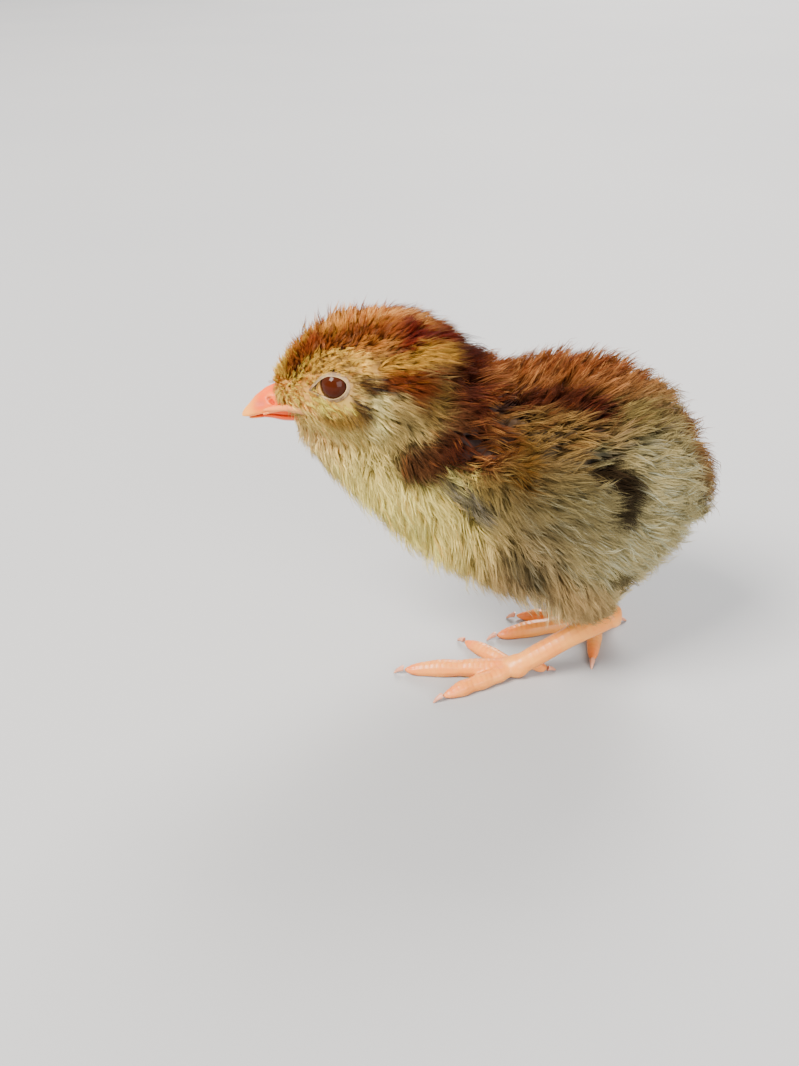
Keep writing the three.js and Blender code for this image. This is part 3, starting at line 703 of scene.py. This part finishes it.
    # a closed cone of three sides: its root, its walls and its tip
    steps = [(3 * k, i) for k in range(ringCount - 1) for i in range(3)]
    top = 3 * ringCount - 3
    pattern = [(2, 1, 0)] + [(k + i, k + (i + 1) % 3, k + 3 + (i + 1) % 3, k + 3 + i) for k, i in steps]
    pattern += [(top + i, top + (i + 1) % 3, top + 3) for i in range(3)]
    sizes = np.array([len(face) for face in pattern])
    flat = np.concatenate([np.array(face) for face in pattern])
    pointsEach = top + 4
    mesh = bpy.data.meshes.new("down_" + area)
    mesh.vertices.add(len(spots))
    mesh.loops.add(len(flat) * total)
    mesh.polygons.add(len(pattern) * total)
    mesh.vertices.foreach_set("co", (spots * mm).astype(np.float32).ravel())
    used = flat[None] + pointsEach * np.arange(total)[:, None]
    mesh.loops.foreach_set("vertex_index", used.astype(np.int32).ravel())
    starts = np.concatenate([[0], np.cumsum(np.tile(sizes, total))[:-1]])
    mesh.polygons.foreach_set("loop_start", starts.astype(np.int32))
    mesh.polygons.foreach_set("use_smooth", np.ones(len(starts), bool))
    mesh.update(calc_edges=True)

    # a tuft is one patch of the unwrap, with a lane for each strand and its length upwards
    corner = np.round(unwrapOf(outer) / (tuft["patch"] * tuft["pitch"])) * tuft["patch"] * tuft["pitch"]
    lane = tuft["patch"] / each
    across = [0, 0.5, 1] + [share for _, i in steps for share in (i / 3, (i + 1) / 3, (i + 1) / 3, i / 3)]
    across += [share for i in range(3) for share in (i / 3, (i + 1) / 3, (i + 0.5) / 3)]
    heights = np.array([*plan["rings"], 1])[np.minimum(flat // 3, ringCount)]
    heights[:3] = [0, 0.02, 0]
    lanes = np.tile(np.arange(each), many) * lane
    u = np.repeat(corner[:, 0], each)[:, None] + lanes[:, None] + np.array(across)[None] * lane * tuft["fill"]
    v = np.repeat(corner[:, 1], each)[:, None] + heights[None] * tuft["patch"] * tuft["fill"]
    layer = mesh.uv_layers.new(name="OFBake")
    layer.uv.foreach_set("vector", np.stack([u, v], 2).astype(np.float32).ravel())

    # markings where each part of a strand lies over the body, with streaks by the tuft and small shifts by
    # the strand
    odd = np.repeat((chance.random(many) < coatAt(0.4 * outer + 0.6 * tip)[3])[:, None], each, 0)
    blur = np.repeat(chance.normal(0, 1, outer.shape) * (0.04 + 0.09 * depth[:, None]), each, 0)
    locks = 1 + tuft["shadeSwing"] * ripple(np.repeat(outer, each, 0), tuft["shadeWave"], 9)[:, :1]
    locks = locks * np.repeat(chance.uniform(*tuft["tuftShades"], (many, 1)), each, 0)
    shift = locks * chance.uniform(*tuft["strandShades"], (total, 1))
    # painted shade deep in the coat: each tuft's roots darkened by a random share, over their own darker root
    # colour
    rootPaintedShade = np.repeat(chance.uniform(*tuft["rootPaintedShades"], (many, 1)), each, 0)
    tones = []
    for level in range(ringCount + 1):
        centre = middle[:, level] if level < ringCount else tips
        run = centre - roots
        run -= (run * leans).sum(1, keepdims=True) * leans
        rootTone, tipTone, streakTone, _ = coatAt(np.repeat(outer, each, 0) + run + blur)
        up = [*plan["rings"], 1][level] ** 0.9
        tipTone = np.where(odd, 0.8 * streakTone + 0.2 * tipTone, tipTone)
        tones += [(rootTone * rootPaintedShade * (1 - up) + tipTone * up) * shift] * (3 if level < ringCount else 1)
    colourPoints(mesh, "markings", np.clip(np.stack(tones, 1).reshape(-1, 3), 0, 1))
    piece = pieceOf(mesh, "down_" + area)
    wear(piece, downFinish)
    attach(piece, "root")
    print("coat on", area, (6 * ringCount - 2) * total, "triangles")


def strandFinish(wire):
    where = wire.place()
    fine = wire.noise(where, 2600.0, 2.0)
    colour = wire.mix(0.3 * fine, wire.attribute("markings"), paint(150, 120, 84), "MULTIPLY")
    return {"Base_Color": colour, "Roughness": 0.62 + 0.25 * fine}


downFinish = material("chick_down", strandFinish, Specular_IOR_Level=0.08)
for area, plan in tuftPlan.items():
    growDown(area, plan)

# Bill: softened copies of its solids with the edge of the mouth, the nostril flap and the pits
billPlan = {"voxel": 0.1, "grow": 0.02, "rounds": 6}
billForms = [
    ("edge", [(1, -28.6, 33.6), (1.6, -27.4, 34.1), (2.4, -25.8, 34.7)], 0.34, 0.1),
    ("flap", [(1.7, -25.8, 36.5), (2.4, -24.6, 37.2)], 0.5, 0.14),
    ("nostril", [(1.8, -26, 36.1), (2.9, -24.7, 36.9)], 0.2, -0.2),
    ("dent", [(1.3, -27.4, 35.1), (1.7, -26.6, 35.3)], 0.4, -0.08),
    ("root", [(0, -25.6, 37.8), (0.8, -24.6, 38.4)], 0.9, 0.3),
    ("nail", [(0, -29.2, 34)], 0.6, 0.1),
]
mouthArch = {"at": -26.2, "long": 1.7, "up": 0.5, "top": 35.3, "fade": 1.3}
billTints = {
    "edge": (0.8, (250, 140, 42)), "flap": (0.8, (248, 130, 36)), "dent": (0.6, (176, 84, 76)),
    "nostril": (0.95, (104, 36, 26)),
}


def hornFinish(wire):
    where = wire.place()
    tip, below = 1 - where.along("Y").between(-0.0294, -0.0268), 1 - where.along("Z").between(0.0336, 0.0344)
    cloud, fine = wire.noise(where, 420.0), wire.noise(where, 2400.0)
    colour = wire.mix(cloud.between(0.35, 0.7), paint(238, 99, 18), paint(228, 79, 14))
    for form, (share, tint) in billTints.items():
        colour = wire.mix(wire.attribute(form, "Fac") * share, colour, paint(*tint))
    colour = wire.mix(tip * 0.9, colour, paint(250, 172, 62))
    colour = wire.mix(below * 0.15, colour, paint(224, 78, 36))
    return {
        "Base_Color": colour,
        "Roughness": 0.34 + 0.18 * cloud,
        "Normal": wire.bump(fine, 0.25, 0.00008),
    }


hornLook = material(
    "bill_horn", hornFinish, Specular_IOR_Level=0.25, Coat_Weight=0.06, Coat_Roughness=0.25,
    Subsurface_Weight=0.15, Subsurface_Scale=0.002,
)
for part in ("bill_upper", "bill_lower"):
    horn = castOf([part], part + "_horn", **billPlan)
    spots, ways = spotsOf(horn.data), leaning(horn.data)
    arch = np.exp(-((spots[:, 1] - mouthArch["at"]) / mouthArch["long"]) ** 2)
    below = np.clip((mouthArch["top"] - spots[:, 2]) / mouthArch["fade"], 0, 1)
    spots[:, 2] += mouthArch["up"] * arch * below
    for form, line, reach, height in billForms:
        share = nearness(spots, line, reach)
        spots += ways * (share * height)[:, None]
        valuePoints(horn.data, form, share)
    moveTo(horn.data, spots)
    wear(horn, hornLook)
    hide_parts(part)
    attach(horn, "root")


def gapeFinish(wire):
    where = wire.place()
    cloud, fine = wire.noise(where, 700.0), wire.noise(where, 3000.0)
    rear = where.along("Y").between(-0.0255, -0.021)
    colour = wire.mix(cloud, paint(236, 120, 50), paint(242, 144, 64))
    return {
        "Base_Color": wire.mix(rear * 0.9, colour, paint(190, 138, 78)),
        "Roughness": 0.4 + 0.2 * fine,
        "Normal": wire.bump(fine, 0.3, 0.00008),
    }


gapeLook = material("gape_skin", gapeFinish, Subsurface_Weight=0.15, Subsurface_Scale=0.001)
for side, name in bothSides:
    tube = bpy.data.curves.new("gape", "CURVE")
    tube.dimensions, tube.bevel_depth, tube.bevel_resolution = "3D", mm, 5
    tube.resolution_u, tube.use_fill_caps = 6, True
    for lip in ("upper", "lower"):
        spline = tube.splines.new("NURBS")
        spline.points.add(len(gape[lip]) - 1)
        spline.order_u, spline.use_endpoint_u = 3, True
        for point, (x, y, z, radius) in zip(spline.points, gape[lip]):
            place = Vector((side * x, y, z))
            if y > gape["free"]:
                near, facing, _, _ = outerTree.find_nearest(place)
                place = near - facing * (gape["sunk"] + gape["sinks"] * (y - gape["free"]))
            point.co, point.radius = (*(place * mm), 1), radius
    holder = bpy.data.objects.new("gape", tube)
    scene.collection.objects.link(holder)
    lips = finishedMesh(holder)
    bpy.data.objects.remove(holder)
    lips.shade_smooth()
    piece = pieceOf(lips, "gape_" + name)
    wear(piece, gapeLook)
    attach(piece, "root")
print("bill and mouth edges made")


# Eyes: a ball with its cornea, and the ring of lids round it
def eyeFinish(side):
    def build(wire):
        away = wire.node("VectorMath", {"operation": "SUBTRACT"}, {0: wire.place(), 1: eyeCentre(side) * mm})
        facing = wire.node("VectorMath", {"operation": "DOT_PRODUCT"}, {0: away, 1: eyeAxis(side)}, "Value")
        length = wire.node("VectorMath", {"operation": "LENGTH"}, {0: away}, "Value")
        opening = facing / length
        rays = wire.noise(wire.place(), 1500.0, 4.0)
        iris = wire.mix(rays, paint(50, 18, 7), paint(68, 29, 12))
        pupil = opening.between(0.9, 0.915)
        rim = 1 - opening.between(0.68, 0.76)
        colour = wire.mix(pupil, iris, paint(58, 19, 4))
        towardsBill = (0, -1 / mm / eyePlan["radius"], 0)
        ahead = wire.node("VectorMath", {"operation": "DOT_PRODUCT"}, {0: away, 1: towardsBill}, "Value")
        colour = wire.mix(rim, colour, paint(30, 16, 11))
        colour = wire.mix(ahead.between(0.88, 0.95), colour, paint(84, 58, 44))
        return {"Base_Color": colour, "Roughness": 0.07 + 0.03 * rays}
    return build


for side, name in bothSides:
    ball = bmesh.new()
    bmesh.ops.create_uvsphere(ball, u_segments=48, v_segments=32, radius=1)
    axis, centre = eyeAxis(side), eyeCentre(side)
    for vert in ball.verts:
        facing = max(0, vert.co.z - eyePlan["corneaReach"]) / (1 - eyePlan["corneaReach"])
        vert.co *= eyePlan["radius"] + eyePlan["cornea"] * facing * (2 - facing) * facing
    bmesh.ops.rotate(ball, verts=ball.verts, matrix=axis.to_track_quat("Z", "Y").to_matrix())
    bmesh.ops.translate(ball, verts=ball.verts, vec=centre)
    bmesh.ops.scale(ball, verts=ball.verts, vec=(mm, mm, mm))
    for face in ball.faces:
        face.smooth = True
    eye = pieceOf(meshOf(ball, "eyeball_" + name), "eyeball_" + name)
    wear(eye, material("eye_" + name, eyeFinish(side), Specular_IOR_Level=0.11))
    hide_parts("eye_" + name)
    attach(eye, "root")


def lidFinish(wire):
    where = wire.place()
    pores, fine = wire.noise(where, 1500.0), wire.noise(where, 5200.0)
    colour = wire.mix(pores.between(0.35, 0.7), paint(160, 130, 90), paint(116, 90, 62))
    colour = wire.mix(wire.attribute("corner", "Fac") * 0.9, colour, paint(84, 56, 40))
    # painted highlight: a pale band along the crest of the lid, a little out from its inner edge
    colour = wire.mix(wire.attribute("lidCrestHighlight", "Fac") * 0.6, colour, paint(204, 172, 116))
    return {
        "Base_Color": colour,
        "Roughness": 0.6 + 0.2 * fine,
        "Normal": wire.bump(pores + 0.5 * fine, 0.8, 0.00018),
    }


lidLook = material("lid_skin", lidFinish, Subsurface_Weight=0.1, Subsurface_Scale=0.001)
# Lids: reach of the opening and of the whole to the rear, to the front, up and down, and the rows from the
# inner edge outwards, each as its share of the way out and its height over the eyeball or the skin
lidPlan = {
    "inner": (1.85, 2.4, 1.27, 1.24), "outer": (2.36, 2.75, 1.74, 1.9),
    "rise": 12,  # degrees that the opening climbs to the rear
    "bed": 1.32, "pinch": 0.66, "forwards": 0.32,
    "meet": 1.84,  # farthest that the flesh of the corner runs out over the eyeball
    "least": (0.7, 1.6),  # squares of the least heights, in the innermost row and in the others
    "wrinkles": 26, "crinkle": 0.03,
    "rows": [
        (0, -0.2), (0, 0.02), (0.05, 0.09), (0.16, 0.13), (0.3, 0.1),
        (0.42, 0.03), (0.54, 0.06), (0.72, 0.03), (0.88, -0.06), (1, -0.3),
    ],
}


def lidEdge(reach, wide, tall):
    # the almond outline at an angle, pointed towards the bill
    front = max(0, -wide)
    return Vector((
        wide * (reach[0] if wide > 0 else reach[1]),
        tall * (reach[2] if tall > 0 else reach[3]) * (1 - lidPlan["pinch"] * front ** 1.5),
    ))


for side, name in bothSides:
    axis, centre = eyeAxis(side), eyeCentre(side)
    back = Vector((0, math.cos(math.radians(lidPlan["rise"])), math.sin(math.radians(lidPlan["rise"]))))
    back = (back - axis * back.dot(axis)).normalized()
    over = axis.cross(back) * side
    ring = bmesh.new()
    bmesh.ops.create_circle(ring, segments=72, radius=1)
    rows, edges = [list(ring.verts)], list(ring.edges)
    for row in lidPlan["rows"][1:]:
        made = bmesh.ops.extrude_edge_only(ring, edges=edges)["geom"]
        rows.append([part for part in made if isinstance(part, bmesh.types.BMVert)])
        edges = [part for part in made if isinstance(part, bmesh.types.BMEdge)]
    firstEdges = [edge for edge in ring.edges if all(vert in rows[0] for vert in edge.verts)]
    marksOf = {}
    for verts, (share, height) in zip(rows, lidPlan["rows"]):
        for vert in verts:
            innermost = verts is rows[0]
            angle = math.atan2(vert.co.y, vert.co.x)
            wide, tall = math.cos(angle), math.sin(angle)
            inner, outer = lidEdge(lidPlan["inner"], wide, tall), lidEdge(lidPlan["outer"], wide, tall)
            flat = inner.lerp(outer, share)
            onBall = inner - Vector((lidPlan["forwards"], 0))
            if innermost and onBall.length > lidPlan["meet"]:
                onBall = onBall.normalized() * lidPlan["meet"]  # flesh of the corner runs on to the eyeball
                flat = onBall + Vector((lidPlan["forwards"], 0))
            least = lidPlan["least"][0 if innermost else 1]
            ballOut = math.sqrt(max(eyePlan["radius"] ** 2 - onBall.length_squared, least))
            crinkle = lidPlan["crinkle"] * math.sin(lidPlan["wrinkles"] * angle + 5 * share)
            crinkle *= math.sin(math.pi * share)
            out = ballOut + (lidPlan["bed"] - ballOut) * share ** 0.8 + height + crinkle
            vert.co = Vector((flat.x, flat.y, out))
            corner = max(max(0, (-wide - 0.7) / 0.3) * max(0, 1 - share / 0.8), max(0, 1 - share / 0.08))
            # the darker flesh of the corners, and the painted highlight along the lid's crest
            marksOf[vert] = (corner, math.exp(-((share - 0.12) / 0.1) ** 2) * (1 - corner))
    bmesh.ops.bridge_loops(ring, edges=firstEdges + edges)
    for vert in ring.verts:
        vert.co = centre + back * (vert.co.x - lidPlan["forwards"]) + over * vert.co.y + axis * vert.co.z
        vert.co *= mm
    ring.verts.index_update()
    values = np.array([marksOf[vert] for vert in ring.verts])
    bmesh.ops.recalc_face_normals(ring, faces=ring.faces)
    mesh = meshOf(ring, "lid_skin_" + name)
    mesh.shade_smooth()
    valuePoints(mesh, "corner", values[:, 0])
    valuePoints(mesh, "lidCrestHighlight", values[:, 1])
    lid = pieceOf(mesh, "lid_skin_" + name)
    wear(lid, lidLook)
    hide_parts("lids_" + name)
    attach(lid, "root")
print("eyes and lids made")

# Legs: shank and toes in one skin with its scutes, claws apart
feet = {
    "left": {
        "foot": (7.7, 4.6), "top": (8, 16.2, 10),
        "ways": {"middle": -1, "inner": -46, "outer": 28, "hind": 193},
    },
    "right": {
        "foot": (-3.6, 16.7), "top": (-5.4, 22, 12.4),
        "ways": {"middle": 14, "inner": 78, "outer": -7, "hind": 190},
    },
}
legPlan = {"voxel": 0.13, "grow": 0.2, "rounds": 5}
clawPlan = {"voxel": 0.06, "grow": 0.03, "rounds": 2}
ends = {
    "ballHeight": 1.4, "shankFrom": 2.6, "shankFade": 1.2, "toeWide": 1.6, "toeFrom": 1.6, "toeFade": 0.8,
    "toe": 2.3, "draw": 0.6, "low": 0.62,  # length of a toe's end, how far it draws in, and its height
    "joints": (0.42, 0.7), "knob": 0.05,  # places along a toe and how far they stand out
    "hock": 2.4, "swell": 0.14, "shrink": 0.14,
    "rounds": 60, "ball": 2.2, "round": 2,  # evening out at the ball of the foot and at the hock
}
scutes = {"step": 0.7, "deep": 0.035, "narrow": 0.12, "shankStep": 0.95}


def legFinish(wire):
    where = wire.place()
    cloud, fine = wire.noise(where, 260.0), wire.noise(where, 2600.0, 4.0)
    groove = wire.attribute("groove", "Fac")
    flesh = wire.mix(cloud.between(0.35, 0.68), paint(234, 153, 66), paint(228, 135, 50))
    colour = wire.mix(groove * 0.3, flesh, paint(200, 96, 48))
    return {
        "Base_Color": wire.mix(wire.attribute("blush", "Fac") * 0.45, colour, paint(226, 92, 50)),
        "Roughness": 0.26 + 0.22 * fine,
        "Normal": wire.bump(fine, 0.3, 0.0001),
    }


legLook = material(
    "leg_skin", legFinish, Specular_IOR_Level=0.35, Coat_Weight=0.12, Coat_Roughness=0.3,
    Subsurface_Weight=0.15, Subsurface_Scale=0.002,
)


def clawFinish(wire):
    where = wire.place()
    cloud = wire.noise(where, 900.0)
    colour = wire.mix(cloud, paint(186, 112, 84), paint(220, 158, 122))
    return {"Base_Color": colour, "Roughness": 0.3 + 0.15 * cloud}


clawLook = material("claw_horn", clawFinish, Coat_Weight=0.2, Coat_Roughness=0.2)
for name, foot in feet.items():
    toeNames, clawNames = ([f"{part}_{which}_{name}" for which in foot["ways"]] for part in ("toe", "claw"))
    leg = castOf([f"shank_{name}", *toeNames], "leg_skin_" + name, **legPlan)
    spots, ways = spotsOf(leg.data), leaning(leg.data)
    groove, blush = np.zeros(len(spots)), np.zeros(len(spots))
    ball = np.array([*foot["foot"], ends["ballHeight"]])
    shankWay = unit(np.array(foot["top"], float) - ball)
    alongShank = (spots - ball) @ shankWay
    onShank = np.clip((spots[:, 2] - ends["shankFrom"]) / ends["shankFade"], 0, 1)
    for angle in foot["ways"].values():
        way = np.array([math.sin(math.radians(angle)), -math.cos(math.radians(angle))])
        flat = spots[:, :2] - foot["foot"]
        along, across = flat @ way, np.abs(flat @ [way[1], -way[0]])
        mine = np.clip(ends["toeWide"] - across, 0, 1)
        mine = mine * np.clip((along - ends["toeFrom"]) / ends["toeFade"], 0, 1) * (1 - onShank)
        phase = np.abs((along / scutes["step"]) % 1 - 0.5)
        upper = np.clip(ways[:, 2] + 0.3, 0, 1)
        groove += mine * np.exp(-((0.5 - phase) * scutes["step"] / scutes["narrow"]) ** 2) * upper
        # the toe's end draws in towards its claw, and its joints stand out a little
        reach = along[(mine > 0.5) & (across < 0.5)].max(initial=2)
        drawn = mine * np.clip((along - reach + ends["toe"]) / ends["toe"], 0, 1) ** 1.6
        low = np.full((len(along), 1), ends["low"])
        middle = np.concatenate([np.array(foot["foot"]) + along[:, None] * way, low], 1)
        spots += (middle - spots) * (ends["draw"] * drawn)[:, None]
        atEnd, atRoot = np.exp(-((along - reach + 1) / 1.3) ** 2), np.exp(-((along - 2) / 1.2) ** 2)
        blush += mine * (atEnd + 0.4 * atRoot)
        for joint in ends["joints"]:
            spots += ways * (ends["knob"] * mine * np.exp(-((along - joint * reach) / 0.7) ** 2))[:, None]
    phase = np.abs((alongShank / scutes["shankStep"]) % 1 - 0.5)
    front = np.clip(0.2 - ways[:, 1], 0, 1)
    groove += onShank * front * np.exp(-((0.5 - phase) * scutes["shankStep"] / scutes["narrow"]) ** 2)
    groove = np.clip(groove, 0, 1)
    # the hock is a rounded knob
    length = alongShank.max()
    knob = np.clip((alongShank - length + ends["hock"]) / ends["hock"], 0, 1)
    axisSpot = ball + alongShank[:, None] * shankWay
    away = spots - axisSpot
    swollen = 1 + ends["swell"] * np.sin(math.pi * np.minimum(knob * 1.3, 1)) - 0.6 * knob ** 4
    spots = axisSpot + away * swollen[:, None]
    spots -= ways * (ends["shrink"] + groove[:, None] * scutes["deep"])
    soft = evened(spots, edgesOf(leg.data), ends["rounds"])
    atBall = nearness(spots, [np.abs(ball)], ends["ball"])
    atHock = nearness(spots, [np.abs(foot["top"])], ends["round"])
    spots += (soft - spots) * np.maximum(atBall, atHock)[:, None]
    spots[:, 2] = np.maximum(spots[:, 2], 0)
    moveTo(leg.data, spots)
    valuePoints(leg.data, "groove", groove)
    valuePoints(leg.data, "blush", np.clip(blush, 0, 1))
    wear(leg, legLook)
    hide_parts(f"shank_{name}", *toeNames)
    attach(leg, "root")
    claws = castOf(clawNames, "claws_" + name, **clawPlan)
    wear(claws, clawLook)
    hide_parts(*clawNames)
    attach(claws, "root")
print("legs and claws made")
